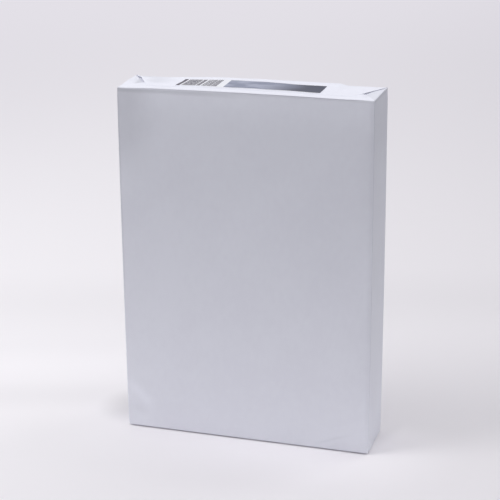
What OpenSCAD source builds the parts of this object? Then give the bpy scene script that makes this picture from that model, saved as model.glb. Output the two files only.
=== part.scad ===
// A sealed ream of copy paper: 500 sheets in a plain white wrap, standing on its lower short end.
// X runs along the width of the sheet, Y through the stack and Z along the length of the sheet.
// The origin is the centre of the base. The wrap is folded over both short ends and glued there,
// and a printed label is stuck on the folds of the upper end.

/* [Sheets] */
// Width of a sheet
sheet_w = 210; // [180:1:240]
// Length of a sheet
sheet_h = 297; // [240:1:360]
// Number of sheets in the stack
sheet_count = 500; // [450:10:600]
// Thickness of one sheet
sheet_t = 0.1; // [0.095:0.001:0.12]
// How far the sheets stray beyond each narrow side, because they never lie quite edge to edge
sheet_stray = 0.4; // [0:0.1:1]

/* [Wrap] */
// Thickness of the wrapping paper
wrap_t = 0.12; // [0.08:0.01:0.25]
// Radius of the wrap where it turns over an end of the stack
end_edge_r = 1.2; // [0.8:0.1:2]
// Radius of the four long edges
long_edge_r = 1; // [0.5:0.1:1.6]
// How far the two large faces swell in their middle
face_belly = 0.5; // [0.2:0.05:1.5]
// How far the two narrow faces swell in their middle
side_belly = 0.6; // [0.2:0.05:1.5]
// Stretch next to each end where the faces stay flat
square_zone = 14; // [10:1:30]
// Width of the glued lap down the back
lap_w = 20; // [10:1:40]
// Distance of the middle of the lap from the middle of the back
lap_x = 0; // [-60:1:60]

/* [Folded ends] */
// Angle of the slanting folds, measured from the depth of the pack
fold_angle = 30; // [20:1:40]
// Height of one folded layer, with the air in it
fold_t = 0.3; // [0.2:0.05:0.5]
// How far the side tucks sink below the flaps at their tip
tuck_dip = 0.8; // [0.3:0.1:1.5]
// How far the gap of a sunken tuck reaches in under the flaps
tuck_gap = 4; // [2:0.5:8]
// How far the back flap reaches past the label
flap_margin = 3.5; // [2:0.5:8]
// Rise of the upper end where the wrap stands off the stack
end_rise = 2.4; // [0.5:0.1:4]
// Width over which the upper end rises
rise_w = 156; // [130:1:175]
// How far the back corners of the upper end are drawn up to a peak
peak_rise = 1; // [0.2:0.1:1.5]
// Length of such a peak along the back edge
peak_w = 16; // [8:1:24]

/* [Label] */
// Length of the label
label_w = 120; // [90:1:126]
// Depth of the label
label_d = 24; // [16:1:26]
// Distance of the middle of the label from the middle of the end
label_x = -1.5; // [-4:0.5:4]
// Distance of the label from the back edge
label_inset = 8.5; // [5:0.5:10]
// Thickness of the label
label_t = 0.15; // [0.1:0.01:0.3]
// Thickness of the adhesive between the label and the wrap
glue_t = 0.07; // [0.04:0.01:0.1]

/* [Label print] */
// Height of the printed colour on the label
ink_t = 0.05; // [0.03:0.01:0.1]
// Clearance between the printed colour and the label
ink_clear = 0.02; // [0.02:0.01:0.1]
// Width of the dark line across the left end of the label
end_line_w = 1.6; // [1:0.1:3]
// Width of the panel of bars
bar_panel_w = 28; // [20:1:32]
// Number of bars in the panel
bar_count = 12; // [6:1:14]
// Width of the narrowest bar
bar_w = 0.8; // [0.4:0.1:0.9]
// Bare stretch between the line and the bars
print_gap = 2.4; // [1:0.1:4]
// Bare stretch between the bars and the field
field_gap = 6; // [2:0.5:10]
// Bare edge above and below the bars and the field
print_edge = 1.2; // [0.6:0.1:3]

/* [Hidden] */
// Outer sizes of the wrapped stack
body_w = sheet_w + 2 * (sheet_stray + wrap_t);
body_t = sheet_count * sheet_t + 2 * wrap_t;
body_h = sheet_h + 4 * fold_t;

// Length of the back flap from the back edge, and of a side tuck from its own edge to its tip
flap_l = label_inset + label_d + flap_margin;
tuck_l = body_t / 2 * tan(fold_angle);
flap_taper = flap_l * tan(fold_angle);

// Places on the label, from its left end: line, bars, then a field to the right end
label_left = label_x - label_w / 2;
label_back = body_t / 2 - label_inset;
bars_left = label_left + end_line_w + print_gap;
field_left = bars_left + bar_panel_w + field_gap;
bar_pitch = bar_panel_w / bar_count;

// Level of the print above the upper end
ink_z = glue_t + label_t + ink_clear;

// A tool reaches this far past what it cuts
past = 3;
// Smallest radius that an edge is drawn with, so that no ring of the skin closes on itself
least_r = 0.05;

// Steps of the skin: round each edge, across the width, up a face and across an end
arc_steps = 3;
width_steps = 20;
face_steps = 6;
end_steps = 8;
side_steps = 3;

// Swell of a face at a share u of the way from its middle to its edge
function swell(u) = 1 - u * u;

// Rise of the upper end at x, and at a share t of its depth, counted from the front
function rise(x) = end_rise * max(0, swell(2 * x / rise_w));
function peak(x) = peak_rise * pow(max(0, 1 - (body_w / 2 - abs(x)) / peak_w), 2);
function lift(x, t) = rise(x) * pow(t, 1.5) + peak(x) * pow(t, 6);
function end_z(x, y) = body_h + lift(x, min(1, max(0, y / body_t + 0.5)));

// Swell of the two large faces: none in the square zones, full in the middle
function face_z(i) = square_zone + (body_h - 2 * square_zone) * i / face_steps;
function face_swell(x, i) = face_belly * max(0, swell(2 * x / body_w)) * swell(2 * i / face_steps - 1);

function arc(y, z, r, from) =
    [for (i = [0:arc_steps]) let (a = from + 90 * i / arc_steps) [y + r * cos(a), z + r * sin(a)]];

// Section of the pack at x: y and z of each point, drawn in by inset and lowered at both ends by drop
function section(x, inset, drop) =
    let (
        r = max(end_edge_r - inset, least_r),
        y_in = body_t / 2 - inset - r,
        z_low = drop + inset + r,
        z_front = body_h - drop - inset - r,
        z_back = z_front + lift(x, 1)
    )
    concat(
        arc(-y_in, z_low, r, 180),
        arc(y_in, z_low, r, 270),
        [for (i = [0:face_steps]) [body_t / 2 - inset + face_swell(x, i), face_z(i)]],
        arc(y_in, z_back, r, 0),
        [for (i = [1:end_steps - 1]) let (t = 1 - i / end_steps)
            [y_in * (2 * t - 1), z_front + r + lift(x, t)]],
        arc(-y_in, z_front, r, 90),
        [for (i = [face_steps:-1:0]) [-body_t / 2 + inset - face_swell(x, i), face_z(i)]]
    );

// Rings of the skin, each a list of points in space
function ring(x, inset, drop) = [for (p = section(x, inset, drop)) [x, p[0], p[1]]];

function edge_ring(side, i, drop) =
    let (a = 90 * i / arc_steps)
    ring(side * (body_w / 2 - long_edge_r * (1 - sin(a))), long_edge_r * (1 - cos(a)), drop);

// Rings that lie on a narrow face, k being their share of the face inside its flat border
function side_ring(side, k, drop) = [
    for (p = section(body_w / 2, long_edge_r, drop))
        [side * (body_w / 2 + side_belly * swell(k)),
         p[0] * k * (1 - square_zone / body_t / 2),
         body_h / 2 + (p[1] - body_h / 2) * k * (1 - 2 * square_zone / body_h)]];

function rings(drop) = concat(
    [for (i = [1:side_steps]) side_ring(-1, i / side_steps, drop)],
    [for (i = [arc_steps:-1:1]) edge_ring(-1, i, drop)],
    [for (i = [0:width_steps]) ring((body_w / 2 - long_edge_r) * (2 * i / width_steps - 1), 0, drop)],
    [for (i = [1:arc_steps]) edge_ring(1, i, drop)],
    [for (i = [side_steps:-1:1]) side_ring(1, i / side_steps, drop)]);

// Flat caps of a skin, as faces over one ring: from a point on a round corner, or between the two
// long sides of a thin strip
function round_cap(n) = [[for (i = [0:n - 1]) (i + 1) % n]];
function strip_cap(n) = [for (i = [0:n / 2 - 2]) [i, i + 1, n - 2 - i, n - 1 - i]];

// Solid through rings of equal count
module skin(rings, cap) {
    n = len(rings[0]);
    m = len(rings);
    walls = [for (j = [0:m - 2], i = [0:n - 1]) let (k = (i + 1) % n)
        each [[j * n + i, (j + 1) * n + i, (j + 1) * n + k], [j * n + i, (j + 1) * n + k, j * n + k]]];
    last_cap = [for (f = cap) [for (i = [0:len(f) - 1]) (m - 1) * n + f[(len(f) - i) % len(f)]]];
    polyhedron(points = [for (r = rings) each r], faces = concat(cap, walls, last_cap));
}

// The whole outside of the pack, lowered at both ends by drop
module pack(drop) {
    skin(rings(drop), round_cap(len(ring(0, 0, drop))));
}

// Room of the back flap at an end: its outline, hinged at the back edge and drawn in along the
// slanting folds, from inside the pack to past the swell of the end
module flap_room() {
    translate([0, 0, -past]) linear_extrude(height = past + square_zone / 2) polygon([
        [-body_w / 2, body_t / 2], [-body_w / 2 + flap_taper, body_t / 2 - flap_l],
        [body_w / 2 - flap_taper, body_t / 2 - flap_l], [body_w / 2, body_t / 2],
        [body_w / 2, body_t / 2 + past], [-body_w / 2, body_t / 2 + past]]);
}

// Outline of a side tuck: its hinge is the whole narrow edge and its tip lies at mid-depth
module tuck_outline(reach) {
    polygon([
        [-reach, 0], [0, -body_t / 2], [past, -body_t / 2], [past, body_t / 2], [0, body_t / 2]]);
}

// Room over one tuck of the upper end: open above the tuck, and a gap in under both flaps
module tuck_room() {
    dip_angle = atan(tuck_dip / tuck_l);
    hinge_z = body_h - 2 * fold_t;
    translate([body_w / 2, 0, hinge_z]) {
        rotate([0, -dip_angle, 0]) linear_extrude(height = past + end_rise) tuck_outline(tuck_l);
        intersection() {
            rotate([0, -dip_angle, 0]) linear_extrude(height = past) tuck_outline(tuck_l + tuck_gap);
            translate([-body_w / 2, -body_t, -past]) cube([body_w / 2, 2 * body_t, past]);
        }
    }
}

module at_both_sides() {
    children();
    mirror([1, 0, 0]) children();
}

module at_both_ends() {
    children();
    translate([0, 0, body_h]) mirror([0, 0, 1]) children();
}

// The glued lap, where the wrap lies double down the back
module back_lap() {
    profile = [for (i = [0:face_steps]) [body_t / 2 + face_swell(lap_x, i) + wrap_t, face_z(i)]];
    translate([lap_x - lap_w / 2, 0, 0]) rotate([90, 0, 90]) linear_extrude(height = lap_w) polygon(
        concat([[body_t / 2 - past, face_z(0)]], profile, [[body_t / 2 - past, face_z(face_steps)]]));
}

// The sheets and their wrap: one closed solid
module wrapped_ream() {
    color([0.93, 0.93, 0.96]) {
        difference() {
            union() {
                pack(fold_t);
                intersection() {
                    pack(0);
                    at_both_ends() flap_room();
                }
            }
            at_both_ends() at_both_sides() tuck_room();
        }
        back_lap();
    }
}

// A sheet that lies on the upper end, from left to right and from front to back
module end_sheet(left, right, front, back, level, thick) {
    along = max(1, ceil((right - left) / 8));
    across = max(1, ceil((back - front) / 4));
    function point(i, j, up) =
        let (x = left + (right - left) * i / along, y = front + (back - front) * j / across)
        [x, y, end_z(x, y) + level + up];
    function bottom_row(i) = [for (j = [0:across]) point(i, j, 0)];
    function top_row(i) = [for (j = [across:-1:0]) point(i, j, thick)];
    skin([for (i = [0:along]) concat(bottom_row(i), top_row(i))], strip_cap(2 * across + 2));
}

module end_label() {
    color([0.96, 0.96, 0.98])
        end_sheet(label_left, label_left + label_w, label_back - label_d, label_back, glue_t, label_t);
}

// The slate field that runs to the right end of the label
module label_print_field() {
    color([0.38, 0.42, 0.52]) end_sheet(
        field_left, label_left + label_w,
        label_back - label_d + print_edge, label_back - print_edge, ink_z, ink_t);
}

// The line across the left end of the label and the plain bars beside it
module label_print_bars() {
    color([0.32, 0.32, 0.36]) {
        end_sheet(label_left, label_left + end_line_w, label_back - label_d, label_back, ink_z, ink_t);
        for (i = [0:bar_count - 1]) {
            x = bars_left + i * bar_pitch;
            end_sheet(x, x + bar_w * (1 + (i * 2 % 3) / 2),
                label_back - label_d + print_edge, label_back - print_edge, ink_z, ink_t);
        }
    }
}

wrapped_ream();
end_label();
label_print_field();
label_print_bars();
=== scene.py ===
# %% [markdown]
# # A ream of copy paper
# This lesson dresses a ream of copy paper: 500 sheets sealed in a plain white wrap, standing on its
# lower short end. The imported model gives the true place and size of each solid, in metres, with X
# along the width of the sheet, Y through the stack and Z up along the length of the sheet. Blender
# adds what the solids leave out: one thin sheet of paper that bends, folds and catches the light.

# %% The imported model
import math

import bmesh
import bpy
import numpy as np
from mathutils import Matrix, Vector


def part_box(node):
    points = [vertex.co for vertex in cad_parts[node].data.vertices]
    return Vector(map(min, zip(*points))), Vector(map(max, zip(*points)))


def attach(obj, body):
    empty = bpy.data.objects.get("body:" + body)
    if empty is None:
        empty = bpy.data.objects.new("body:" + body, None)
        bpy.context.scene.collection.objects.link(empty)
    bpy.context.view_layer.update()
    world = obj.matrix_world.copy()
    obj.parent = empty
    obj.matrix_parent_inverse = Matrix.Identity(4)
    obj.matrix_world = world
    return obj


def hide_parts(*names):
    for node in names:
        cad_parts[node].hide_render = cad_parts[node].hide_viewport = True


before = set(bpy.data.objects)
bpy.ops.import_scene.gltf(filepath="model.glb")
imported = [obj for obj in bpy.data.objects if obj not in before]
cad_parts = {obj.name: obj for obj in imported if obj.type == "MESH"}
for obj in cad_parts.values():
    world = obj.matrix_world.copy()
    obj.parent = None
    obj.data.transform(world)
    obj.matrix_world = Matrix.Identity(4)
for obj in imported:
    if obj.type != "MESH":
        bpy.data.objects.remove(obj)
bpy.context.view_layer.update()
print("nodes:", sorted(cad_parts))

# %% [markdown]
# ## Sizes
# The wrap is thinner than half a millimetre everywhere, so the lesson counts in millimetres and turns
# to metres only when a mesh is made. The sizes of the sheet, the stack and the wrap are the real ones.
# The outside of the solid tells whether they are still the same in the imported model.

# %% Sizes of the pack, in millimetres
MM = 0.001
SHEET_W = 210.0
SHEET_H = 297.0
STACK_T = 500 * 0.1
STRAY = 0.4
WRAP_T = 0.12
FOLD_T = 0.3
HALF_W = SHEET_W / 2 + STRAY + WRAP_T
HALF_D = STACK_T / 2 + WRAP_T
TOP = SHEET_H + 4 * FOLD_T

low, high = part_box("wrapped_ream")
reach = [v / MM for v in (low.x, high.x, low.y, high.y, high.z)]
print("solid reaches:", [round(v, 2) for v in reach])
print("stack and wrap:", [-HALF_W, HALF_W, -HALF_D, HALF_D, TOP])

# %% [markdown]
# ## Camera
# The photograph looks at the pack from its right, a little from above, with a long lens. Eight corners
# of the pack, read off the photograph, give the place, the angles and the lens. Three directions make
# the camera's rotation: its right, its up and its back, each a column of the matrix.

# %% Camera
CAMERA_AT = (0.3394, -1.1209, 0.5589)
CAMERA_YAW = math.radians(-16.963)
CAMERA_PITCH = math.radians(18.750)
CAMERA_ROLL = math.radians(-0.457)
CAMERA_LENS = 107.88
SENSOR_W = 36.0
CLIP_END = 30.0


def make_camera():
    yaw, pitch, roll = CAMERA_YAW, CAMERA_PITCH, CAMERA_ROLL
    flat = math.cos(pitch)
    ahead = np.array((math.sin(yaw) * flat, math.cos(yaw) * flat, -math.sin(pitch)))
    level = np.array((math.cos(yaw), -math.sin(yaw), 0.0))
    upward = np.cross(level, ahead)
    right = level * math.cos(roll) + upward * math.sin(roll)
    up = upward * math.cos(roll) - level * math.sin(roll)
    data = bpy.data.cameras.new("camera")
    data.lens = CAMERA_LENS
    data.sensor_width = SENSOR_W
    data.clip_end = CLIP_END
    camera = bpy.data.objects.new("camera", data)
    bpy.context.scene.collection.objects.link(camera)
    turn = Matrix(np.column_stack((right, up, -ahead)).tolist()).to_4x4()
    camera.matrix_world = Matrix.Translation(CAMERA_AT) @ turn
    return camera


bpy.context.scene.camera = make_camera()
bpy.context.scene.view_settings.view_transform = "Standard"
print("camera lens:", CAMERA_LENS, "mm")

# %% [markdown]
# ## A few words for shaders
# A finish is a small sum of noises and masks. Written as nodes by hand it is long, so this class wraps
# one output socket and lets Python's own signs make the Math nodes. A colour or a vector takes the
# vector nodes instead, because a Math node would turn it grey. Every other node comes from `node`.

# %% Shader expressions
class Wave:
    """One output socket of a finish, with signs that add nodes to it."""

    def __init__(self, tree, socket):
        self.tree = tree
        self.socket = socket

    def node(self, kind, settings=(), values=(), output=0):
        made = self.tree.nodes.new(kind)
        for name, value in dict(settings).items():
            setattr(made, name, value)
        for name, value in dict(values).items():
            if isinstance(value, Wave):
                self.tree.links.new(value.socket, made.inputs[name])
            else:
                made.inputs[name].default_value = value
        return Wave(self.tree, made.outputs[output])

    def maths(self, operation, *parts):
        """One Math node, or one Vector Math node where a part is a colour or a vector."""
        wide = any(isinstance(v, Wave) and v.socket.type in ("VECTOR", "RGBA") for v in parts)
        if wide:
            parts = [(v,) * 3 if isinstance(v, (int, float)) else v for v in parts]
        kind = "ShaderNodeVectorMath" if wide else "ShaderNodeMath"
        return self.node(kind, {"operation": operation}, dict(enumerate(parts)))

    def __add__(self, other):
        return self.maths("ADD", self, other)

    def __radd__(self, other):
        return self.maths("ADD", other, self)

    def __sub__(self, other):
        return self.maths("SUBTRACT", self, other)

    def __rsub__(self, other):
        return self.maths("SUBTRACT", other, self)

    def __mul__(self, other):
        return self.maths("MULTIPLY", self, other)

    def __rmul__(self, other):
        return self.maths("MULTIPLY", other, self)

    def __abs__(self):
        return self.maths("ABSOLUTE", self)

    def length(self):
        """Length of a vector, as a plain value."""
        return self.node("ShaderNodeVectorMath", {"operation": "LENGTH"}, {0: self}, output="Value")

    def ramp(self, start, end, low_value=0.0, high_value=1.0):
        """A smooth step from low_value to high_value as this value goes from start to end."""
        values = {"Value": self, "From Min": start, "From Max": end}
        values.update({"To Min": low_value, "To Max": high_value})
        return self.node("ShaderNodeMapRange", {"interpolation_type": "SMOOTHSTEP"}, values)

    def between(self, first, second):
        """A colour from first to second as this value goes from 0 to 1."""
        return self.node("ShaderNodeMix", {"data_type": "RGBA"}, {0: self, 6: first, 7: second}, output=2)


print("signs of a Wave: + - * and abs")

# %% [markdown]
# Each finish starts in the same way: a new material, its Principled shader and the place on the object,
# taken from the object's own coordinates so that nothing slides when the camera moves. Paper has no
# pattern but its fibres, so the only texture is noise, and `grain` sets it by its size in millimetres.

# %% Words for finishes
def new_finish(name):
    """A material with only its Principled shader and a Wave of the place on the object, in metres."""
    material = bpy.data.materials.new(name)
    material.use_nodes = True
    tree = material.node_tree
    shader = tree.nodes["Principled BSDF"]
    place = Wave(tree, None).node("ShaderNodeTexCoord", output="Object")
    return material, shader, place


def grain(place, size, detail=2.0, stretch=(1, 1, 1)):
    """Noise from 0 to 1 whose patches are about size millimetres wide."""
    scaled = place * tuple(s / (size * MM) for s in stretch)
    return place.node("ShaderNodeTexNoise", {}, {"Vector": scaled, "Scale": 1.0, "Detail": detail})


def axes(place):
    return [place.node("ShaderNodeSeparateXYZ", {}, {"Vector": place}, output=i) for i in range(3)]


def feed(shader, name, wave):
    wave.tree.links.new(wave.socket, shader.inputs[name])


def feed_bump(shader, height, strength, depth):
    """Roughens the shader's surface by this height, at most depth millimetres deep."""
    values = {"Strength": strength, "Distance": depth * MM, "Height": height}
    feed(shader, "Normal", height.node("ShaderNodeBump", {}, values))


print("words for finishes: new_finish, grain, axes, feed, feed_bump")

# %% [markdown]
# ## Shape of the wrap
# A ream wrap starts as a tube of paper round the stack, glued down a lap on the back. At each end the
# paper of the two narrow sides is tucked in, then the front paper is folded over the tucks and the back
# paper over all of it. What shows is a front flap, a wide back flap whose slanting sides are folds, and
# a sunken triangle at each side. One closed skin is made here from panels that share their border
# points, so the folds are real steps with shadow under them and the skin has no holes.

# %% How the panels are divided
ARC_STEPS = 5
MID_STEPS = 112
SPIKE_STEPS = 6
FLAP_STEPS = 9
SIDE_STEPS = 24
HEIGHT_STEPS = 140
EDGE_STEPS = 5
TUCK_STEPS = FLAP_STEPS + SPIKE_STEPS
NEAR_ROWS = (0.0, 0.3, 0.6, 0.9, 1.2, 1.6, 2.0, 2.5, 3.1, 3.9, 5.0, 6.5, 8.5, 11.0)
print("panels:", MID_STEPS, "columns over the back flap,", HEIGHT_STEPS, "rows up the faces")

# %% [markdown]
# The paper turns over the long edges and the end edges with a radius of about a millimetre. Beside each
# edge it leans in a little over about a centimetre, because the stack inside has square corners that the
# paper pulls round. That lean is what gives a ream its soft bright and dark borders. Half way up, the
# long edges stand out by half a millimetre, because the sheets have worked loose there. Seen from
# above, the folded ends have a smaller round at each corner, which lies inside the tube's round.

# %% Bends of the paper
LONG_R = 0.9
END_INSET = 1.1
CAP_R = 0.2
CAP_INSET = LONG_R - CAP_R
LEAN = 0.12
LEAN_END = 0.34
LEAN_L = 9.0
LEAN_END_L = 13.0
FRONT_LEAN = 0.9
FRONT_LEAN_L = 24.0
RIGHT_LEAN = 0.55
RIGHT_LEAN_L = 5.0
BACK_LEAN = 0.20
BACK_LEAN_L = 9.0
FACE_BELLY = 0.46
SIDE_BELLY = 0.05
EDGE_BELLY = 0.44
FACE_MAX = 0.47
SIDE_MAX = 0.08


def smooth(t):
    t = np.clip(t, 0.0, 1.0)
    return t * t * (3.0 - 2.0 * t)


def fade(distance, length):
    """1 at an edge, falling to 0 at this length from it."""
    return np.clip(1.0 - distance / length, 0.0, 1.0) ** 2


print("long edges of radius", LONG_R, "mm, end edges", END_INSET, "mm")

# %% [markdown]
# Slack paper is never flat. A handful of long slow waves, drawn once from a seeded generator, gives
# each face a shape of its own. Small creases are put where the photograph has them: a soft diagonal
# ridge at the lower left with a hollow below it, and fine ripples at the lower right, where the end
# folds pull. A crease is one row: its centre, its angle, its length, its width and its height.

# %% Waves and creases of the faces
WAVE_SIZES = (170.0, 120.0, 90.0, 64.0, 47.0, 33.0)
WAVE_FLATNESS = 900.0
FULL_TURN = 6.28
RIPPLES = [((82.0 + 2.5 * (i % 3), 8.0 + 6.0 * i), 18.0, 13.0, 1.7, 0.22) for i in range(5)]
CREASES = [((-93.5, 31.0), -40.0, 15.0, 3.8, 0.34), ((-95.0, 12.0), -25.0, 11.0, 5.5, -0.80), *RIPPLES]

chance = np.random.default_rng(5)
WAVES = []
for size in WAVE_SIZES:
    for _ in range(2):
        height = chance.uniform(0.5, 1.0) * size / WAVE_FLATNESS
        along = chance.uniform(-1.0, 1.0) / size
        WAVES.append((height, along, 1.0 / size, chance.uniform(0, FULL_TURN)))


def waves(u, v, shift):
    total = np.zeros(np.broadcast(u, v).shape)
    for i, (height, along, up, start) in enumerate(WAVES):
        total = total + height * np.sin(FULL_TURN * (along * u + up * v) + start + shift * (i + 1))
    return total


def crease(u, v, centre, angle, length, width, height):
    """A soft ridge at centre, whose long way lies at this angle above the horizontal."""
    a = math.radians(angle)
    along = (u - centre[0]) * math.cos(a) + (v - centre[1]) * math.sin(a)
    across = (v - centre[1]) * math.cos(a) - (u - centre[0]) * math.sin(a)
    return height * np.exp(-((along / length) ** 2) - (across / width) ** 2)


def belly(u, v, half, amount):
    """Swell of a face at u across it and v up it."""
    across = np.clip(1.0 - (u / half) ** 2, 0.0, 1.0)
    upward = np.clip(1.0 - ((v - TOP / 2) / (TOP / 2)) ** 2, 0.0, 1.0)
    return amount * across**0.8 * upward**0.7


def lean(edge_gap, v):
    """How far the paper leans in beside the long edges and the ends."""
    return LEAN * fade(edge_gap, LEAN_L) + LEAN_END * fade(np.minimum(v, TOP - v), LEAN_END_L)


print("waves:", len(WAVES), "and creases:", len(CREASES))

# %% [markdown]
# Down the back the wrap lies double: its free edge is a step the thickness of the paper, and 20 mm
# beside it the hidden edge below shows only as a soft shoulder. The step runs on over the back flaps. It
# could be a strip of its own, but a step in the same skin leaves no gap behind it.

# %% The glued lap
LAP_EDGE = 10.0
HIDDEN_EDGE = LAP_EDGE - 20.0


def lap_step(x):
    free_edge = smooth((LAP_EDGE + 0.05 - x) / 0.1)
    shoulder = smooth((x - HIDDEN_EDGE + 1.5) / 3.0)
    return WRAP_T * free_edge * shoulder


def lap_on_flap(x, y):
    """The lap's step on a back flap, which ends at the flap's cut edge."""
    return lap_step(x) * smooth((y + 12.0) / 2.0)


print("lap:", LAP_EDGE - HIDDEN_EDGE, "mm wide,", WRAP_T, "mm high")

# %% [markdown]
# Now the four faces. Each one is a height over the flat side of the pack: the swell, plus the slack
# waves and creases, less what the paper leans in beside its edges. The upper edge of the front is rolled
# back a little, as the photograph's soft dark border there shows, and the back carries the lap. A height
# like this is easier to tune than modelled points, because one number moves one thing.

# %% Shapes of the faces
FACE_SLACK = 0.8
SIDE_SLACK = 0.3


def rolled_edge(x, z):
    """The front paper leans back below the upper edge, and at the left a lip stands out at the edge."""
    lip = 0.05 + 0.30 * (1.0 - smooth((x + 45.0) / 60.0)) * smooth((x + HALF_W) / 12.0)
    inside = smooth((x + HALF_W) / 30.0) * smooth((HALF_W - x) / 20.0)
    back = FRONT_LEAN * fade(TOP - z, FRONT_LEAN_L) * inside
    return lip * np.exp(-(((TOP - END_INSET - z) / 1.4) ** 2)) - back


def calm_borders(gap, z, length):
    """0 at the borders of a face and 1 inside it, so that its waves die out before the edges."""
    return smooth(gap / length) * smooth(z / 10.0) * smooth((TOP - z) / 10.0)


def front_shape(x, z):
    gap = HALF_W - np.abs(x)
    small = smooth(gap / 3.0) * smooth(z / 3.0)
    slack = FACE_SLACK * calm_borders(gap, z, 12.0) * waves(x, z, 0.0)
    shape = belly(x, z, HALF_W, FACE_BELLY) + slack + rolled_edge(x, z)
    for row in CREASES:
        shape = shape + small * crease(x, z, *row)
    turned = RIGHT_LEAN * fade(HALF_W - x, RIGHT_LEAN_L) * smooth((TOP - z) / 8.0)
    return np.minimum(shape, FACE_MAX) - lean(gap, z) - turned


def back_shape(x, z):
    gap = HALF_W - np.abs(x)
    slack = FACE_SLACK * calm_borders(gap, z, 12.0) * waves(x, z, 1.7)
    shape = belly(x, z, HALF_W, FACE_BELLY) + slack
    return np.minimum(shape, FACE_MAX) - lean(gap, z) + lap_step(x)


def side_shape(y, z, side):
    gap = HALF_D - np.abs(y)
    slack = SIDE_SLACK * calm_borders(gap, z, 8.0) * waves(3 * y, z, 2.9 + side)
    shape = np.minimum(belly(y, z, HALF_D, SIDE_BELLY) + slack, SIDE_MAX)
    back = BACK_LEAN * fade(HALF_D - y, BACK_LEAN_L) * smooth((z - 120.0) / 100.0)
    return shape - lean(gap, z) - back


print("front stands", round(float(front_shape(0.0, TOP / 2)), 2), "mm out in its middle")

# %% [markdown]
# A face is a grid of columns and rows. The columns are the places where the skin gets its points, so they
# stand close together beside the long edges and at the two sides of the lap's step, where the paper
# bends most, and further apart elsewhere.

# %% Columns of the faces
EDGE_COLUMNS = (0.0, 0.5, 1.0, 1.6, 2.3, 3.1, 4.1, 5.4)
even = np.linspace(-(HALF_W - LONG_R), HALF_W - LONG_R, MID_STEPS - 3)
near_edge = np.array([LAP_EDGE - 0.06, LAP_EDGE - 0.02, LAP_EDGE + 0.02, LAP_EDGE + 0.06])
back_x = np.sort(np.concatenate((even, near_edge)))
edge_x = np.array(EDGE_COLUMNS) + LONG_R - HALF_W
mid_steps = MID_STEPS + 2 * SPIKE_STEPS + 3 - 2 * len(edge_x)
mid_x = np.linspace(edge_x[-1], -edge_x[-1], mid_steps)[1:-1]
front_x = np.concatenate((edge_x, mid_x, -edge_x[::-1]))
side_y = np.linspace(-(HALF_D - LONG_R), HALF_D - LONG_R, SIDE_STEPS + 1)
print("columns:", len(front_x), "front,", len(back_x), "back,", len(side_y), "each side")

# %% [markdown]
# ## The folded ends
# The upper end isn't flat either. The paper stands off the stack in the middle and is lowest beside
# the back corners, where the folds pull it down, and the corners themselves are drawn up to a tip.
# The narrow sides push it up a little where they turn in. All these heights were read off the outline
# of the upper end in the photograph. They could be sculpted by hand, but a function keeps the label and
# its ink in step with the paper under them. One function gives the height of the back flap, and the front
# flap and the tucks lie lower than it by their own amounts.

# %% Height of the upper end
TILT = 0.0067
RIDGE_X = 104.0
RIDGE_L = 30.0
LAP_ON_TOP = 0.7


def back_rise(x):
    """Height of the back border over the stack: low at the left, high in the middle."""
    middle = 2.3 * smooth((x + 88.0) / 62.0) - 0.3 * smooth(x / 60.0)
    return middle - 0.75 - 1.5 * smooth((x - 66.0) / 8.0)


def corner_tip(x, y):
    """How far the back corners are drawn up: the left one more than the right one."""
    corners = 1.9 * fade(HALF_W + x, 7.0) + 0.35 * fade(HALF_W - x, 7.0)
    return corners * smooth((y / HALF_D + 0.1) / 1.1) ** 4


def side_ridge(x, y):
    """How far the narrow sides push the paper up, most of all half way along them."""
    left = 1.4 * smooth((y + 16.0) / 18.0) * (1.0 - smooth((y - 14.0) / 10.0))
    right = 0.6 * (1.0 - smooth((y - 5.0) / 20.0))
    from_left, from_right = (x + RIDGE_X) / RIDGE_L, (RIDGE_X - x) / RIDGE_L
    return left * (1.0 - smooth(from_left)) + right * (1.0 - smooth(from_right))


def sag(x, y):
    """How far the flap sinks between its front and back borders, down to the stack."""
    across = np.clip(np.abs(y) / (HALF_D - END_INSET), 0.0, 1.0)
    back = 0.6 * (1.0 - smooth((x + 75.0) / 50.0)) - 0.5 * np.exp(-((x / 35.0) ** 2))
    amount = 0.6 + back * smooth((y + 5.0) / 18.0)
    return amount * (1.0 - across**3) * smooth((HALF_W - END_INSET - np.abs(x)) / 16.0)


def upper_flap(x, y):
    depth = np.clip(y / HALF_D / 2 + 0.5, 0.0, 1.0)
    front = (0.9 - 0.9 * (x / 100.0) ** 2 - 0.0042 * x) * (1.0 - depth)
    soft = 0.10 * np.sin(x / 11.0 + y / 9.0) + 0.07 * np.sin(x / 6.0 - y / 7.0 + 1.0)
    calm = smooth((HALF_D - np.abs(y)) / 6.0) * smooth((HALF_W - np.abs(x)) / 8.0)
    level = TOP - 0.1 + TILT * x + back_rise(x) * depth**1.5 + front - sag(x, y)
    return level + side_ridge(x, y) + corner_tip(x, y) + soft * calm + LAP_ON_TOP * lap_on_flap(x, y)


print("upper end:", round(float(upper_flap(0.0, 0.0)), 2), "mm high in its middle")

# %% [markdown]
# The lower end carries the weight, so its flaps are pressed flat on the floor, and only the front flap
# springs up a little, by a millimetre at the front border. The shade under it draws the pack's line on
# the floor. Both ends are folded alike, so they share their code, and a row of numbers says what differs:
# how far the tucks gape under the back flap and sink at their tip, at the left and at the right.

# %% Both ends
def lower_flap(x, y):
    """The lower back flap lies on the floor, on the double paper of its lap."""
    soft = 0.04 * (1.0 + np.sin(x / 13.0 + y / 8.0)) * smooth((HALF_D - np.abs(y)) / 6.0)
    return WRAP_T + 0.01 + soft - lap_on_flap(x, y)


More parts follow.
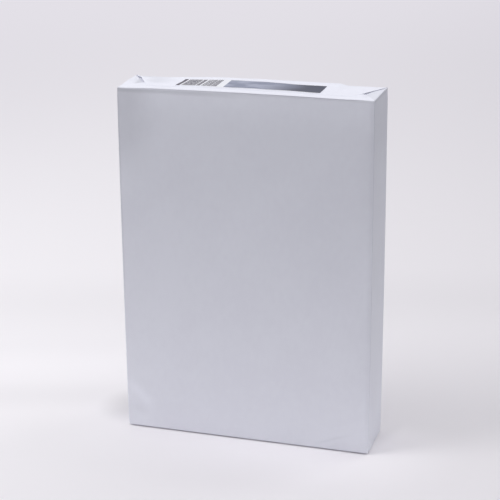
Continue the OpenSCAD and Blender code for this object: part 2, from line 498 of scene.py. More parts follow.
ENDS = {
    "upper": {"sign": 1.0, "flap": upper_flap, "gaps": (1.4, 0.35), "sinks": (0.3, 0.2), "lift": 0.0},
    "lower": {"sign": -1.0, "flap": lower_flap, "gaps": (0.05, 0.05), "sinks": (0.1, 0.1), "lift": 1.0},
}
TIP_DROP = 0.25
TIP_DROP_R = 3.5
TIP_POCKET = 4.0

FOLD_ANGLE = math.radians(30.0)
FLAP_L = 36.0
TUCK_L = HALF_D * math.tan(FOLD_ANGLE)
FREE_Y = HALF_D - FLAP_L
TIP_X = HALF_W - TUCK_L
FREE_X = HALF_W - FLAP_L * math.tan(FOLD_ANGLE)
print("back flap ends at y", FREE_Y, "and the tucks meet it at x", round(TIP_X, 1))

# %% [markdown]
# A panel is a grid of points. Where four border lines are known, the points inside follow from them by
# the Coons rule: the sum of the two rulings, less the plane through the four corners. Neighbours use
# the same border points, so merging points that coincide sews all panels into one skin.

# %% Panels from their borders
PANELS = []


def coons(first, last, left, right):
    """Grid of points inside four borders. first and last run across, left and right run along."""
    rows, columns = len(left), len(first)
    s = np.linspace(0, 1, rows)[:, None, None]
    t = np.linspace(0, 1, columns)[None, :, None]
    along = (1 - s) * first[None] + s * last[None]
    across = (1 - t) * left[:, None] + t * right[:, None]
    near = (1 - s) * ((1 - t) * first[0] + t * first[-1])
    far = s * ((1 - t) * last[0] + t * last[-1])
    return along + across - near - far


def at_height(grid, height):
    """Puts the points inside a panel at the height that a function gives, and leaves its borders."""
    inner = grid[1:-1, 1:-1]
    inner[..., 2] = height(inner[..., 0], inner[..., 1])
    return grid


def spots(x, y, height):
    """Points of a line at x and y, lifted to the height that a function gives."""
    x, y = np.broadcast_arrays(np.asarray(x, float), np.asarray(y, float))
    return np.stack((x, y, height(x, y)), axis=-1)


# %% [markdown]
# The edge of a flap is a little lip: the top surface turns over a small round, comes back under the
# flap and meets the sheet below at the bottom of a narrow pocket. `lip` gives that section at one
# point of the edge. At the corner of the pack the section is the pack's own round corner, with as many
# points, and the lip grows out of it along the fold.

# %% Lips along the flap edges
LIP_BACK = np.array((1.0, 0.3, 0.0, 0.3, 1.0))
LIP_DOWN = np.array((0.0, 0.3, 1.0, 1.7, 2.0))
BACK_LIP = 0.12
FRONT_LIP = 0.06
CUT_LIP = 0.055
CUT_POCKET = 0.15
FIRST_POCKET = 0.35


def lip_size(full, share):
    """Size of a fold's lip at this share of its way from the corner of the pack to the tip."""
    return full * (0.3 + 0.7 * smooth(share / 0.2))


def lip(end, point, outward, size, pocket, level, floor):
    """Section of a lip: five points round the edge, then the bottom of its pocket."""
    line = point - np.outer(LIP_BACK * size, outward)
    edge = spots(line[:, 0], line[:, 1], level)
    edge[:, 2] -= end["sign"] * size * LIP_DOWN
    bottom = point - pocket * outward
    return np.vstack((edge, spots(*bottom, floor)))


def corner_arc(side, depth_side, height):
    """Points of the cap's round corner, from its front or back side round to its narrow side."""
    turn = math.pi / 2 * (1 - np.arange(ARC_STEPS + 1) / ARC_STEPS)
    x = side * (HALF_W - LONG_R + CAP_R * np.cos(turn))
    y = depth_side * (HALF_D - LONG_R + CAP_R * np.sin(turn))
    return spots(x, y, height)


def slant_edge(end, side, depth_side, steps, level, floor, full):
    """Lip sections along a slanting fold, from the corner of the pack to the tip of the tuck."""
    outward = np.array((side * math.cos(FOLD_ANGLE), -depth_side * math.sin(FOLD_ANGLE)))
    start = np.array((side * (HALF_W - CORNER_IN), depth_side * (HALF_D - CORNER_IN)))
    tip = np.array((side * TIP_X, 0.0))
    sections = []
    for k in range(1, steps + 1):
        s = k / steps
        pocket = FIRST_POCKET + (TIP_POCKET - FIRST_POCKET) * s
        point = start * (1 - s) + tip * s
        sections.append(lip(end, point, outward, lip_size(full, s), pocket, level, floor))
    return sections


CORNER_IN = LONG_R - CAP_R * math.cos(math.radians(45))
print("a fold's lip is", 2 * BACK_LIP, "mm high, a cut edge's", 2 * CUT_LIP, "mm")

# %% [markdown]
# Each end has one back flap, one front flap with a small spike at each side that runs in under the back
# flap, and two tucks. Their heights come from the back flap's surface: the front flap lies one paper
# below it, and a little more beside the tips. Each tuck falls from the narrow side to just below the
# fold that lies over it, and the gap under the back fold is what draws the dark line in the photograph.
# All three sheets meet at a point deep in the pocket, where nobody looks.

# %% Heights of the sheets at one end
def end_heights(end):
    flap, sign = end["flap"], end["sign"]

    def front(x, y):
        near_tip = np.exp(-((np.abs(x) - TIP_X) ** 2 + y**2) / TIP_DROP_R**2)
        lifted = end["lift"] * smooth((FREE_Y - y) / (FREE_Y + HALF_D))
        return flap(x, y) - sign * (WRAP_T + TIP_DROP * near_tip + lifted)

    def border(x, y):
        share = smooth(y / HALF_D / 2 + 0.5)
        return front(x, y) * (1 - share) + flap(x, y) * share

    def tuck(x, y):
        along = 1.0 - np.clip(np.abs(y) / HALF_D, 0.0, 1.0)
        side = np.sign(x)
        fold_x = side * (HALF_W - TUCK_L * along)
        gap, sink = [np.where(x < 0.0, *end[name]) for name in ("gaps", "sinks")]
        tip_drop = WRAP_T + TIP_DROP + sink
        back_drop = 2 * lip_size(BACK_LIP, along) + gap * smooth(along / 0.12)
        back_drop = back_drop + tip_drop * smooth(2 * along - 1)
        rest = 2 * (BACK_LIP - FRONT_LIP) + gap + sink - 0.02
        front_drop = 2 * lip_size(FRONT_LIP, along) + 0.02 + rest * smooth(2.5 * along - 1.5)
        under_back = flap(fold_x, y) - sign * back_drop
        under_front = front(fold_x, y) - sign * front_drop
        hinge = border(side * (HALF_W - CAP_INSET), y)
        width = np.maximum(TUCK_L * along - CAP_INSET, 0.8)
        share = smooth((HALF_W - CAP_INSET - np.abs(x)) / width)
        return hinge * (1 - share) + np.where(y > 0.0, under_back, under_front) * share

    return flap, front, border, tuck


# %% [markdown]
# With the heights known, the flap edges of one end are lines of lip sections. The back flap's slanting
# edge runs on past the tip to its cut edge, and the front flap's stops at the tip. A line also has its
# bottom points, which the sheet below shares.

# %% Edges of the flaps at one end
def end_edges(end, side):
    flap, front, border, tuck = end_heights(end)
    deep = spots(side * (TIP_X - TIP_POCKET), 0.0, flap)
    deep[2] -= end["sign"] * (WRAP_T + TIP_DROP + 0.5)

    back_edge = [corner_arc(side, 1.0, border)]
    back_edge += slant_edge(end, side, 1.0, TUCK_STEPS, flap, tuck, BACK_LIP)
    back_edge[-1][5] = deep
    slant = np.array((side * math.cos(FOLD_ANGLE), -math.sin(FOLD_ANGLE)))
    mitre = slant + np.array((0.0, -1.0))
    tip, free = np.array((side * TIP_X, 0.0)), np.array((side * FREE_X, FREE_Y))
    for k in range(1, SPIKE_STEPS + 1):
        s = k / SPIKE_STEPS
        outward = slant if k < SPIKE_STEPS else mitre * 2 / (mitre @ mitre)
        size = CUT_LIP + (BACK_LIP - CUT_LIP) * (1 - s) ** 3
        pocket = CUT_POCKET + (TIP_POCKET - CUT_POCKET) * (1 - s) ** 2
        back_edge.append(lip(end, tip * (1 - s) + free * s, outward, size, pocket, flap, front))

    front_edge = [corner_arc(side, -1.0, border)]
    front_edge += slant_edge(end, side, -1.0, TUCK_STEPS - 1, front, tuck, FRONT_LIP)
    front_edge.append(np.repeat(deep[None], ARC_STEPS + 1, axis=0))
    return np.array(back_edge), np.array(front_edge)


# %% [markdown]
# Now the sheets themselves are stretched between those lines: the back flap from the back border to its
# cut edge, the front flap from the front border to the line where it goes under the back flap, its two
# spikes, and the tucks from the narrow sides in to the deep point.

# %% Sheets of one end
def end_panels(end):
    flap, front, border, tuck = end_heights(end)
    edges = {side: end_edges(end, side) for side in (-1.0, 1.0)}
    back_y, front_y = HALF_D - CAP_INSET, CAP_INSET - HALF_D

    share = (back_x[1:-1] - back_x[0]) / (back_x[-1] - back_x[0])
    free_x = FREE_X * (2 * share - 1)
    ahead = np.array((0.0, -1.0))
    cut = [lip(end, np.array((x, FREE_Y)), ahead, CUT_LIP, CUT_POCKET, flap, front) for x in free_x]
    cut = np.array([edges[-1.0][0][-1], *cut, edges[1.0][0][-1]])
    back_line = spots(back_x, back_y, border)
    back_sheet = coons(back_line, cut[:, 0], edges[-1.0][0][:, 0], edges[1.0][0][:, 0])
    PANELS.extend((cut, at_height(back_sheet, flap)))

    bases = {}
    for side, (back_edge, front_edge) in edges.items():
        inner, outer = back_edge[TUCK_STEPS:, 5][::-1], front_edge[FLAP_STEPS:, 0]
        mix = np.linspace(0, 1, SPIKE_STEPS + 1)[:, None]
        base = inner[0] * (1 - mix) + outer[0] * mix
        base[1:-1, 2] = front(base[1:-1, 0], base[1:-1, 1])
        deep = inner[-1]
        spike = coons(base, np.repeat(deep[None], SPIKE_STEPS + 1, axis=0), inner, outer)
        low_share = smooth((np.arange(1, SPIKE_STEPS) - (SPIKE_STEPS - 2)) / 2.0)[:, None]
        on_flap = front(spike[1:-1, 1:-1, 0], spike[1:-1, 1:-1, 1])
        spike[1:-1, 1:-1, 2] = on_flap * (1 - low_share) + spike[1:-1, 1:-1, 2] * low_share
        bases[side] = base

        hinge = spots(side * (HALF_W - CAP_INSET), side_y[::-1], border)
        point = np.repeat(deep[None], len(hinge), axis=0)
        sheet = coons(hinge, point, back_edge[: TUCK_STEPS + 1, 5], front_edge[:, 5])
        last = smooth((np.arange(1, TUCK_STEPS) - (TUCK_STEPS - 3)) / 3.0)[:, None]
        body = sheet[1:-1, 1:-1]
        body[..., 2] = tuck(body[..., 0], body[..., 1]) * (1 - last) + body[..., 2] * last
        PANELS.extend((back_edge, front_edge, spike, sheet))

    seam = np.concatenate((bases[-1.0][::-1], cut[1:-1, 5], bases[1.0]))
    left, right = edges[-1.0][1][: FLAP_STEPS + 1, 0], edges[1.0][1][: FLAP_STEPS + 1, 0]
    front_sheet = coons(spots(front_x, front_y, border), seam, left, right)
    PANELS.append(at_height(front_sheet, front))
    return border


borders = {name: end_panels(end) for name, end in ENDS.items()}
print("panels of both ends:", len(PANELS))

# %% [markdown]
# ## The tube between the ends
# Each column of the tube has its place round the pack and a place on the border of the end caps. Its
# points go straight up the face, moved in or out by the face's shape, and at both ends turn over the
# edge in a quarter round. In the round long edges one face's shape goes over into the next one's. The
# rows are closer near the ends, where the paper bends more. A bevelled box would be quicker, but all its
# faces would be flat, and its ends would have nothing to share with the folds.

# %% Columns of the tube
def tube_columns():
    """Place on the tube, place on the cap's border, outward direction and shape of each column."""
    columns = []

    def column(centre, turn, first, second, share):
        out = np.array((math.cos(turn), math.sin(turn)))
        centre = np.asarray(centre)
        columns.append((centre + LONG_R * out, centre + CAP_R * out, out, first, second, share))

    cx, cy = HALF_W - LONG_R, HALF_D - LONG_R
    quarter = math.pi / 2
    faces = [
        (0, "front", [(x, -cy) for x in front_x]),
        (1, "right", [(cx, y) for y in side_y]),
        (2, "back", [(x, cy) for x in back_x[::-1]]),
        (3, "left", [(-cx, y) for y in side_y[::-1]]),
    ]
    for (number, face, centres), (_, following, _) in zip(faces, faces[1:] + faces[:1]):
        for centre in centres:
            column(centre, (number - 1) * quarter, face, face, 0.0)
        for i in range(1, ARC_STEPS):
            s = i / ARC_STEPS
            column(centres[-1], (number - 1 + s) * quarter, face, following, s)
    return columns


SHAPES = {
    "front": lambda x, y, z: front_shape(x, z),
    "back": lambda x, y, z: back_shape(x, z),
    "right": lambda x, y, z: side_shape(y, z, 1.0),
    "left": lambda x, y, z: side_shape(y, z, -1.0),
}


def tube_panel():
    near = np.array(NEAR_ROWS) + END_INSET
    middle = np.linspace(near[-1], TOP - near[-1], HEIGHT_STEPS + 1)[1:-1]
    rows = np.concatenate((near, middle, TOP - near[::-1]))
    stretch = 1.0 + EDGE_BELLY / HALF_W * (1.0 - (2 * rows / TOP - 1.0) ** 2)
    turns = np.linspace(0, math.pi / 2, EDGE_STEPS + 1)[1:]
    grid = []
    for place, cap, out, first, second, share in tube_columns():
        low_z, high_z = [borders[name](*cap) for name in ("lower", "upper")]
        x, y = np.full_like(rows, place[0]), np.full_like(rows, place[1])
        moved = (1 - share) * SHAPES[first](x, y, rows) + share * SHAPES[second](x, y, rows)
        z = low_z + (high_z - low_z) * rows / TOP
        wall = np.column_stack(((x + out[0] * moved) * stretch, y + out[1] * moved, z))
        lower = [turn_over(wall[0], (*cap, low_z), t) for t in turns]
        upper = [turn_over(wall[-1], (*cap, high_z), t) for t in turns]
        grid.append(np.vstack((lower[::-1], wall, upper)))
    grid.append(grid[0])
    return np.array(grid)


def turn_over(wall, cap, turn):
    """A point of the quarter round from the wall over to the cap's border."""
    wall, cap = np.asarray(wall, float), np.asarray(cap, float)
    level = cap + (wall - cap) * math.cos(turn)
    height = wall[2] + (cap[2] - wall[2]) * math.sin(turn)
    return (level[0], level[1], height)


PANELS.append(tube_panel())
print("tube:", PANELS[-1].shape[0] - 1, "columns of", PANELS[-1].shape[1], "points")

# %% [markdown]
# The back left corner of the upper end is pulled: the fold there is tight and draws the corner forward,
# by more than three millimetres. Moving every point near the corner by the same smooth rule keeps the
# borders together.

# %% The pulled corner
PULL_AT = (-104.5, 24.0)
PULL_BY = (-0.5, -3.4, 0.1)
PULL_R = 5.0


def pull_corner(grid):
    away = (grid[..., 0] - PULL_AT[0]) ** 2 + (grid[..., 1] - PULL_AT[1]) ** 2
    amount = np.exp(-away / PULL_R**2) * smooth((grid[..., 2] - TOP + 12.0) / 10.0)
    return grid + amount[..., None] * np.array(PULL_BY)


PANELS = [pull_corner(grid) for grid in PANELS]
print("corner pulled by", PULL_BY, "mm")

# %% [markdown]
# ## Sewing the skin
# All panels go into one bmesh, points that coincide are merged, and the faces are turned outward. A
# closed skin has two faces at every edge, so the lesson counts the edges that haven't.

# %% From panels to one mesh
SEW_GAP = 0.002
SHARP_ANGLE = 34.0


def sew(name, panels):
    body = bmesh.new()
    for grid in panels:
        rows, columns = grid.shape[:2]
        points = [[body.verts.new((point * MM).tolist()) for point in line] for line in grid]
        for i in range(rows - 1):
            for j in range(columns - 1):
                body.faces.new((points[i][j], points[i + 1][j], points[i + 1][j + 1], points[i][j + 1]))
    bmesh.ops.remove_doubles(body, verts=body.verts, dist=SEW_GAP * MM)
    bmesh.ops.recalc_face_normals(body, faces=body.faces)
    for face in body.faces:
        face.smooth = True
    for edge in body.edges:
        edge.smooth = edge.calc_face_angle(0.0) < math.radians(SHARP_ANGLE)
    open_edges = sum(len(edge.link_faces) != 2 for edge in body.edges)
    mesh = bpy.data.meshes.new(name)
    body.to_mesh(mesh)
    volume = abs(body.calc_volume()) / MM**3
    body.free()
    piece = bpy.data.objects.new(name, mesh)
    bpy.context.scene.collection.objects.link(piece)
    print(name, len(mesh.polygons), "faces,", open_edges, "open edges,", round(volume), "mm3")
    return piece


wrap = sew("ream_wrap", PANELS)
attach(wrap, "root")
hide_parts("wrapped_ream")

# %% [markdown]
# ## Label
# The label is a separate sheet, pressed on the back flap by hand, so it lies a degree askew and half a
# millimetre to the left, and follows every swell of the paper under it. It is a thin closed sheet whose
# two sides take their height from the flap. The step of the lap is too sharp for it, so under the label
# that step is drawn out into a slope. It could be a colour on the wrap, but a real label has an edge
# that catches the light and a gloss of its own.

# %% The label's sheet
GLUE_T = 0.05
LABEL_T = 0.13
LABEL_TURN = math.radians(1.2)
LABEL_SHIFT = -0.5
LABEL_STEP = 2.0
label_low, label_high = [[v / MM for v in corner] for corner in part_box("end_label")]
LABEL_X = (label_low[0] + LABEL_SHIFT, label_high[0] + LABEL_SHIFT)
LABEL_Y = (label_low[1], label_high[1])
print("label: x", [round(v, 2) for v in LABEL_X], "y", [round(v, 2) for v in LABEL_Y])


def under_label(x, y):
    """Height of the flap with the lap's step drawn out, so that nothing sinks into the flap."""
    slope = WRAP_T * smooth((LAP_EDGE + 3.0 - x) / 3.0) * smooth((x - HIDDEN_EDGE + 4.0) / 3.0)
    return upper_flap(x, y) + LAP_ON_TOP * (slope - lap_on_flap(x, y))


def laid_sheet(name, spans, level, thick):
    """One piece of thin closed sheets on the upper flap, each from its (x0, x1, y0, y1)."""
    panels = []
    middle_x, middle_y = sum(LABEL_X) / 2, sum(LABEL_Y) / 2
    for x0, x1, y0, y1 in spans:
        columns = max(2, math.ceil((x1 - x0) / LABEL_STEP))
        rows = max(2, math.ceil((y1 - y0) / LABEL_STEP))
        x, y = np.meshgrid(np.linspace(x0, x1, columns + 1), np.linspace(y0, y1, rows + 1))
        x, y = x - LABEL_TURN * (middle_y - y), y + LABEL_TURN * (middle_x - x)
        under = np.stack((x, y, under_label(x, y) + level), axis=-1)
        over = under + np.array((0.0, 0.0, thick))
        rim = [np.concatenate((g[0, :-1], g[:-1, -1], g[-1, :0:-1], g[::-1, 0])) for g in (under, over)]
        panels.extend((under, over, np.array(rim)))
    return sew(name, panels)


label = laid_sheet("end_label_sheet", [(*LABEL_X, *LABEL_Y)], GLUE_T, LABEL_T)
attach(label, "root")
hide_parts("end_label")

# %% [markdown]
# Printing ink has almost no thickness, but its own piece can have its own finish. A dark line crosses
# the left end of the label, plain bars stand beside it in five groups, and a field of colour fills the
# rest. A group is a row of its left end, its right end and how many bars it has. The ink floats two
# hundredths of a millimetre over the label, closer than any eye can tell.

# %% The label's print
INK_GAP = 0.015
INK_T = 0.02
PRINT_EDGE = 1.2
LINE_W = 3.0
BAR_GROUPS = (
    (-57.4, -46.2, 10),
    (-45.0, -42.2, 3),
    (-40.4, -37.0, 3),
    (-36.2, -33.2, 3),
    (-32.4, -28.2, 4),
)
BAR_WIDTHS = (0.75, 0.6, 0.95, 0.6, 0.85, 1.0, 0.65)
FIELD_X = (-22.0, LABEL_X[1])
ink_level = GLUE_T + LABEL_T + INK_GAP
print_y = (LABEL_Y[0] + PRINT_EDGE, LABEL_Y[1] - PRINT_EDGE)

field = laid_sheet("label_field_ink", [(*FIELD_X, *print_y)], ink_level, INK_T)
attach(field, "root")
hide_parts("label_print_field")

spans = [(LABEL_X[0], LABEL_X[0] + LINE_W, *LABEL_Y)]
for left_end, right_end, count in BAR_GROUPS:
    widths = [BAR_WIDTHS[i % len(BAR_WIDTHS)] for i in range(count)]
    bar_gap = (right_end - left_end - sum(widths)) / (count - 1)
    for width in widths:
        spans.append((left_end, left_end + width, *print_y))
        left_end += width + bar_gap
bars = laid_sheet("label_bar_ink", spans, ink_level, INK_T)
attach(bars, "root")
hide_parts("label_print_bars")
print("bars:", len(spans) - 1, "with gaps of", round(bar_gap, 2), "mm in the last group")

# %% [markdown]
# ## Painted light and shade on the wrap
# Light and shade are painted into the wrap's colour, as a factor of it. The faces are painted lighter
# just below the upper edge, except at the upper left, which is painted darker. Thin lines of painted
# shade lie under the left half of the upper edge, down the left edge above its foot and at the top of the
# right side. The creases of the front get painted highlights and painted shade, the right tuck gets
# painted shade under its folds, and on the back a thin painted shade follows the free edge of the lap.
# Each mark is a product of ramps, whose two numbers are places in metres, so it stays in its place from
# any side. A painted image could hold them too, but it would need its own file and unwrapping.

# %% Painted light and shade on the wrap
# Strengths of the painted light and the painted shade on the faces of the wrap.
PAINTED_LIGHT_BELOW_EDGE = 0.05
PAINTED_SHADE_UPPER_LEFT = 0.085
PAINTED_SHADE_UNDER_EDGE = 0.09
PAINTED_SHADE_LEFT_EDGE = 0.15
PAINTED_SHADE_RIGHT_TOP = 0.06
PAINTED_TUCK_SHADE = 0.11
LAP_SHADE = 0.16
LAP_LINE = (0.0002, 0.0007)
UPPER_END = (0.2964, 0.2974)
FRONT_FACE = (-0.0245, -0.0235)
BACK_FACE = (0.0235, 0.0245)
# Painted highlights, above 0, and painted shade, below 0, along the creases of the front: a row is the
# centre, the angle in degrees, the length and the width in metres, and the strength.
PAINTED_CREASE_LIGHT_AND_SHADE = (
    ((-0.0935, 0.032), -40.0, 0.020, 0.008, 0.06),
    ((-0.0946, 0.017), -25.0, 0.010, 0.006, -0.03),
    ((0.068, 0.0075), 18.0, 0.012, 0.002, -0.027),
    ((0.075, 0.0105), 18.0, 0.012, 0.002, -0.027),
    ((0.082, 0.0135), 18.0, 0.012, 0.002, -0.027),
)


def soft_mark(x, z, centre, angle, length, width):
    """1 in a soft streak on the front at centre, whose long way lies at this angle, 0 outside it."""
    a = math.radians(angle)
    right, up = x - centre[0], z - centre[1]
    along = abs(right * math.cos(a) + up * math.sin(a))
    across = abs(up * math.cos(a) - right * math.sin(a))
    return (1 - along.ramp(0.2 * length, length)) * (1 - across.ramp(0.0, width))


def painted_face_light_and_shade(x, z):
    """Painted light, above 0, below the upper edge, and painted shade, below 0, at the upper left and
    edges.
    """
    left = 1 - x.ramp(-0.098, -0.066)
    painted_light = z.ramp(0.262, 0.294) * (1 - left)
    shade_upper_left = z.ramp(0.215, 0.265) * left
    shade_under_edge = z.ramp(0.2930, 0.2952) * (1 - x.ramp(-0.040, 0.020))
    left_edge_shade = (1 - x.ramp(-0.1052, -0.1036)) * z.ramp(0.060, 0.200)
    right_top_shade = x.ramp(0.1046, 0.1054) * z.ramp(0.230, 0.290)
    edge_shades = PAINTED_SHADE_UNDER_EDGE * shade_under_edge + PAINTED_SHADE_LEFT_EDGE * left_edge_shade + PAINTED_SHADE_RIGHT_TOP * right_top_shade
    return PAINTED_LIGHT_BELOW_EDGE * painted_light - PAINTED_SHADE_UPPER_LEFT * shade_upper_left - edge_shades


def painted_light_and_shade(place):
    """Factor of the wrap's colour: over 1 where light is painted into it, under 1 where shade is painted.
    """
    x, y, z = axes(place)
    on_end = z.ramp(*UPPER_END)
    # Painted shade on the right tuck, under the folds that lie over it.
    beside_fold = x - abs(y) * math.tan(FOLD_ANGLE)
    in_tuck = beside_fold.ramp(TIP_X * MM, (TIP_X + 1.0) * MM) * on_end
    crease_light_and_shade = sum(amount * soft_mark(x, z, *where) for *where, amount in PAINTED_CREASE_LIGHT_AND_SHADE)
    crease_light_and_shade = crease_light_and_shade * (1 - y.ramp(*FRONT_FACE))
    lap_line = (1 - abs(x - LAP_EDGE * MM).ramp(*LAP_LINE)) * y.ramp(*BACK_FACE)
    marks = (1 - on_end) * painted_face_light_and_shade(x, z) + crease_light_and_shade
    return 1 + marks - PAINTED_TUCK_SHADE * in_tuck - LAP_SHADE * lap_line


print("marks:", len(PAINTED_CREASE_LIGHT_AND_SHADE), "on creases, the strongest of the others", PAINTED_SHADE_LEFT_EDGE)

# %% [markdown]
# ## Paper of the wrap
# Ream wrap is a white kraft paper with a thin coating: its fibres give a fine matt grain, the coating
# gives a faint satin gloss that comes and goes in patches. Three noises do this: clouds a few
# centimetres wide for the colour and the gloss, flocks of fibre a few millimetres wide, and the grain
# itself, stretched along the roll's direction, which is up the pack. A picture of paper would blur close
# by or repeat from afar, and noise does neither.

# %% Wrap paper
WRAP_COLOUR = (0.850, 0.855, 0.930, 1.0)
WRAP_SHADE = (0.830, 0.832, 0.910, 1.0)
PAPER_IOR = 1.42


def wrap_paper():
    material, shader, place = new_finish("wrap_paper")
    clouds = grain(place, 45.0, 3.0)
    flocks = grain(place, 4.0, 3.0, (1.0, 1.0, 0.6))
    fibre = grain(place, 0.5, 4.0, (1.0, 1.0, 0.35))
    tone = (clouds * 0.6 + flocks * 0.4).ramp(0.35, 0.65)
    # The colour carries the painted light and shade of the wrap as a factor.
    feed(shader, "Base Color", tone.between(WRAP_SHADE, WRAP_COLOUR) * painted_light_and_shade(place))
    feed(shader, "Roughness", clouds * 0.10 + flocks * 0.08 + 0.42)
    feed_bump(shader, fibre * 0.35 + flocks * 0.65, 0.35, 0.06)
    shader.inputs["IOR"].default_value = PAPER_IOR
    return material


wrap.data.materials.append(wrap_paper())
print("wrap paper: three noises, from 45 mm clouds to 0.5 mm fibres")

# %% [markdown]
# ## Paper and inks of the label
# The label is smoother and a little brighter than the wrap. Its field of colour is printed as a blend,
# from a cloudy light blue-grey at the left to a dark slate at the right, and the bars are a plain dark
# grey. Ink on smooth paper shines a little more than paper does, and its solid parts are never quite
# even, so each ink has a fine speck. One flat colour would look like plastic.

# %% Label paper and inks
LABEL_COLOUR = (0.86, 0.865, 0.90, 1.0)
LABEL_SHADE = (0.83, 0.835, 0.875, 1.0)
FIELD_PALE = (0.36, 0.38, 0.48, 1.0)
FIELD_MIST = (0.22, 0.24, 0.33, 1.0)
FIELD_DARK = (0.030, 0.037, 0.072, 1.0)
BAR_DARK = (0.046, 0.037, 0.064, 1.0)
BAR_WORN = (0.078, 0.066, 0.100, 1.0)
BLEND_SPAN = (0.006, 0.046)


def label_paper():
    material, shader, place = new_finish("label_paper")
    flocks = grain(place, 6.0, 3.0)
    fibre = grain(place, 0.4, 3.0)
    feed(shader, "Base Color", flocks.ramp(0.35, 0.65).between(LABEL_SHADE, LABEL_COLOUR))
    feed(shader, "Roughness", flocks * 0.12 + 0.34)
    feed_bump(shader, fibre, 0.25, 0.04)
    return material


def field_ink():
    material, shader, place = new_finish("slate_ink")
    x, y, _ = axes(place)
    mist = grain(place, 9.0, 2.0, (0.5, 1.0, 1.0))
    speck = grain(place, 0.6, 2.0)
    across = (x + (mist - 0.5) * 0.03 - y * 0.5).ramp(*BLEND_SPAN)
    pale = mist.ramp(0.38, 0.62).between(FIELD_MIST, FIELD_PALE)
    feed(shader, "Base Color", across.between(pale, FIELD_DARK))
    feed(shader, "Roughness", speck * 0.12 + 0.34)
    feed_bump(shader, speck, 0.2, 0.03)
    return material


def bar_ink():
    material, shader, place = new_finish("bar_ink")
    speck = grain(place, 0.5, 3.0)
    feed(shader, "Base Color", speck.ramp(0.4, 0.7).between(BAR_DARK, BAR_WORN))
    feed(shader, "Roughness", speck * 0.12 + 0.36)
    feed_bump(shader, speck, 0.2, 0.03)
    return material


for piece, material in ((label, label_paper()), (field, field_ink()), (bars, bar_ink())):
    piece.data.materials.append(material)
    print(piece.name, "has", material.name)

# %% [markdown]
# ## Floor and backdrop
# The pack stands in a wide shallow bowl of pale paper. A floor with a wall behind it would show its seam
# from some sides, and a bowl shows none wherever the camera stands. From the photograph's place the
# camera looks down so steeply that the floor fills its frame. The bowl is a fan of rings round one
# point: flat ones for the floor, then a rim that curves up.

# %% The bowl
FLOOR_R = 3.0
FLOOR_SHARES = (0.15, 0.4, 0.7, 1.0)
RIM_R = 1.6
RIM_TURN = math.radians(88.0)
RIM_STEPS = 12
ROUND_STEPS = 96


def make_stage():
    rings = [(FLOOR_R * s, 0.0) for s in FLOOR_SHARES]
    for i in range(1, RIM_STEPS + 1):
        a = RIM_TURN * i / RIM_STEPS
        rings.append((FLOOR_R + RIM_R * math.sin(a), RIM_R * (1 - math.cos(a))))
    body = bmesh.new()
    turns = [2 * math.pi * i / ROUND_STEPS for i in range(ROUND_STEPS)]
    loops = []
    for r, z in rings:
        loops.append([body.verts.new((r * math.cos(a), r * math.sin(a), z)) for a in turns])
    centre = body.verts.new((0.0, 0.0, 0.0))
    for i in range(ROUND_STEPS):
        j = (i + 1) % ROUND_STEPS
        body.faces.new((centre, loops[0][i], loops[0][j]))
        for inner, outer in zip(loops, loops[1:]):
            body.faces.new((inner[i], outer[i], outer[j], inner[j]))
    for face in body.faces:
        face.smooth = True
    mesh = bpy.data.meshes.new("stage")
    body.to_mesh(mesh)
    body.free()
    floor = bpy.data.objects.new("stage", mesh)
    bpy.context.scene.collection.objects.link(floor)
    return floor


floor = make_stage()
print("stage:", len(floor.data.polygons), "faces")

# %% [markdown]
# Near the pack, light and shade are painted into the floor's seen colour: painted light before the pack,
# a painted shadow at its left foot, and three faint bands of painted light and shade that cross it. A
# band is a row of its centre, its width, its strength and what is left of it at the right. The distance
# to the pack's foot is worked out from the place alone, so the marks stay on the floor from any side.

# %% Painted light and shade on the floor
PAINTED_LIGHT_FRONT = 0.18
PAINTED_LIGHT_REACH = 0.085
FOOT_BOX = (0.106, 0.026, 0.0)
FOOT_SHADE = 0.17
FOOT_LEFT = (-0.108, 0.016, 0.0)
FOOT_SPAN = (0.012, 0.045)
LEFT_TO_RIGHT = (-0.130, 0.080)
BAND_ACROSS = (-0.2918, 0.9565)
LIGHT_AND_SHADE_BANDS = ((0.31, 0.11, -0.035, 1.0), (0.14, 0.06, 0.035, 0.0), (0.07, 0.04, -0.04, 0.0))


def painted_floor_light_and_shade(place):
    """Factor of the seen paper: painted light before the pack, a painted shadow at its left foot, and
    bands.
    """
    x, y, _ = axes(place)
    flat = place * (1.0, 1.0, 0.0)
    gap = flat.maths("MAXIMUM", abs(flat) - FOOT_BOX, 0.0).length()
    back = y - x.ramp(0.106, 0.125) * 0.030
    front = (1 - back.ramp(-0.020, 0.020)) * (1 - gap.ramp(0.0, PAINTED_LIGHT_REACH))
    front = front * x.ramp(*LEFT_TO_RIGHT, 0.25, 1.0) * x.ramp(0.060, 0.115, 1.0, 0.55)
    at_foot = 1 - (flat - FOOT_LEFT).length().ramp(*FOOT_SPAN)
    depth = x * BAND_ACROSS[0] + y * BAND_ACROSS[1]
    bands = 0
    # Each band is painted shade, below 0, or painted light, above 0.
    for centre, width, amount, right_share in LIGHT_AND_SHADE_BANDS:
        band = 1 - abs(depth - centre).ramp(0.0, width)
        bands = bands + band * amount * x.ramp(*LEFT_TO_RIGHT, 1.0, right_share)
    return 1 + PAINTED_LIGHT_FRONT * front - FOOT_SHADE * at_foot + bands


print("marks of the floor: a pale front, a dark foot and", len(LIGHT_AND_SHADE_BANDS), "bands")

# %% [markdown]
# The floor does two jobs. Near the pack it throws light back up, a little more of it at the left, which
# makes the foot of each face brighter than its top, and further off it does so less, as a table does
# that ends. What the camera sees is a paper of its own, paler at the left with painted light that falls
# more strongly from there, that goes over into a backdrop with its own glow, painted lighter at the left
# in the same way. The Light Path node tells the two jobs apart, so the backdrop is pale without more
# light on the pack.

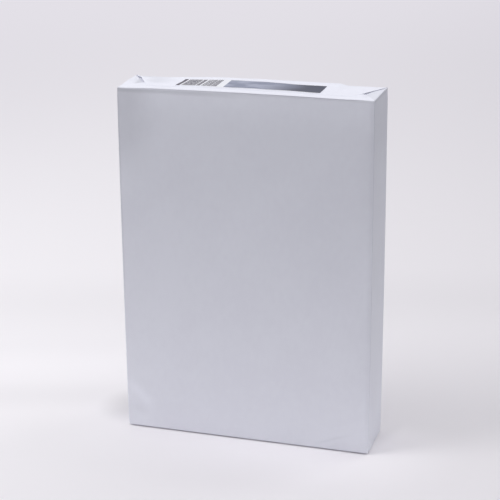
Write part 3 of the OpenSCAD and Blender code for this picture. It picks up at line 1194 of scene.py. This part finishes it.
# %% Floor paper
BOUNCE_NEAR = (0.96, 0.94, 0.955, 1.0)
BOUNCE_FAR = (0.20, 0.20, 0.21, 1.0)
BOUNCE_SPAN = (0.15, 0.72)
BOUNCE_TILT = (-0.25, 0.25, 1.03, 0.95)
# The seen paper and the glow are lighter at the left: painted light that falls more strongly from the
# left.
PAPER_LEFT = (0.957, 0.930, 0.948, 1.0)
PAPER_RIGHT = (0.759, 0.733, 0.760, 1.0)
GLOW_LEFT = (0.772, 0.748, 0.803, 1.0)
GLOW_RIGHT = (0.678, 0.657, 0.710, 1.0)
SIDE_SPAN = (-0.6, 0.6)
GLOW_SPAN = (0.0, 2.4)


def seen_directly(place):
    """1 where the camera, a gloss or a clear material looks at the floor, 0 where light only bounces."""
    rays = ("Is Camera Ray", "Is Glossy Ray", "Is Transmission Ray")
    return sum(place.node("ShaderNodeLightPath", output=name) for name in rays)


def stage_paper():
    material, shader, place = new_finish("stage_paper")
    reach, x = place.length(), axes(place)[0]
    across, far, seen = x.ramp(*SIDE_SPAN), reach.ramp(*GLOW_SPAN), seen_directly(place)
    bounce = reach.ramp(*BOUNCE_SPAN).between(BOUNCE_NEAR, BOUNCE_FAR) * x.ramp(*BOUNCE_TILT)
    paper = across.between(PAPER_LEFT, PAPER_RIGHT) * (1 - far) * painted_floor_light_and_shade(place)
    feed(shader, "Base Color", seen.between(bounce, paper))
    feed(shader, "Emission Color", across.between(GLOW_LEFT, GLOW_RIGHT) * (seen * far))
    shader.inputs["Emission Strength"].default_value = 1.0
    shader.inputs["Roughness"].default_value = 0.9
    shader.inputs["Specular IOR Level"].default_value = 0.0
    return material


floor.data.materials.append(stage_paper())
print("floor bounces", BOUNCE_NEAR[1], "near the pack,", BOUNCE_FAR[1], "from", BOUNCE_SPAN[1], "m on")

# %% [markdown]
# ## Light
# A white sky gives most of the light. Three wide soft lamps shape it: a large one overhead keeps the
# folded end the brightest part, a window at the front left throws the soft shadow back to the right, and
# a weak one behind at the right lightens the narrow side. A small strong lamp would draw hard shadows
# beside the folds, which the photograph doesn't have.

# %% Sky and lamps
SKY = 0.663
SKY_COLOUR = (0.985, 0.995, 1.03, 1.0)
LAMP_AIM = (0.0, 0.0, 0.1)
LAMPS = (
    ("overhead", (0.0, 0.0, 2.4), 1.6, 8.0),
    ("window", (-1.11, -0.64, 1.53), 0.9, 9.5),
    ("rear_fill", (1.2, 1.2, 1.4), 1.0, 5.1),
)


def make_sky():
    world = bpy.data.worlds.new("sky")
    world.use_nodes = True
    background = world.node_tree.nodes["Background"]
    background.inputs["Color"].default_value = SKY_COLOUR
    background.inputs["Strength"].default_value = SKY
    bpy.context.scene.world = world


def make_lamp(name, place, size, power):
    """A round lamp at this place, size metres wide, turned to the lower half of the pack."""
    data = bpy.data.lights.new(name, "AREA")
    data.shape = "DISK"
    data.size = size
    data.energy = power
    lamp = bpy.data.objects.new(name, data)
    bpy.context.scene.collection.objects.link(lamp)
    away = Vector(place) - Vector(LAMP_AIM)
    lamp.matrix_world = Matrix.Translation(place) @ away.to_track_quat("Z", "Y").to_matrix().to_4x4()


make_sky()
for lamp_row in LAMPS:
    make_lamp(*lamp_row)
print("sky strength", SKY, "and", len(LAMPS), "lamps")
